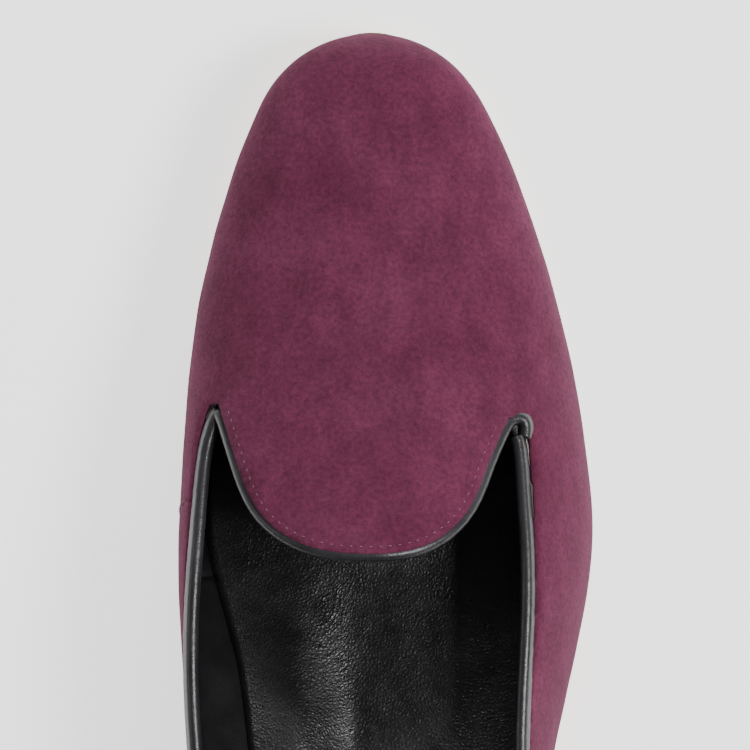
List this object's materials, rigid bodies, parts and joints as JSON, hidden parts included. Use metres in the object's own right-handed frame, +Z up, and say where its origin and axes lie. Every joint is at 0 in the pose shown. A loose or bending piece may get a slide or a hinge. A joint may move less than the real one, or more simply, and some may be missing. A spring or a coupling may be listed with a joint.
{
  "type": "smoking slipper",
  "caption": "Round-toed suede smoking slipper for the right foot, with leather piping, a moulded leather sock, a leather sole and a low stacked heel.",
  "frame": {"origin": "centre of the shoe's box at ground level", "axes": "+Y from heel to toe, +X to the lateral (little-toe) side, +Z up"},
  "size_m": [0.1, 0.3001, 0.0803],
  "materials": {
    "suede": "matt suede",
    "lining": "satin",
    "piping": "semi-gloss",
    "sock": "satin grained",
    "stiffener": "matt",
    "cloth": "matt",
    "cord": "matt",
    "board": "matt",
    "foam": "matt",
    "cork": "matt",
    "steel": "brushed",
    "brass": "satin",
    "sole_leather": "smooth natural",
    "thread": "waxed",
    "heel_leather": "polished edge",
    "heel_rubber": "matt"
  },
  "bodies": {
    "root": {"vamp": "suede", "medial_quarter": "suede", "back_strip": "suede", "toe_puff": "stiffener", "heel_counter": "stiffener", "backing_cloth": "cloth", "vamp_lining": "lining", "medial_quarter_lining": "lining", "lateral_quarter_lining": "lining", "heel_grip": "lining", "tongue_piping": "piping", "top_line_piping": "piping", "tongue_piping_cord": "cord", "top_line_piping_cord": "cord", "insole_board": "board", "footbed": "foam", "sock": "sock", "cork_filler": "cork", "rear_filler": "board", "shank": "steel", "outsole": "sole_leather", "sole_stitches": "thread", "heel_lift_1": "heel_leather", "heel_lift_2": "heel_leather", "heel_lift_3": "heel_leather", "heel_tip": "heel_rubber", "heel_nails": "steel", "tip_nails": "brass"}
  },
  "joints": []
}
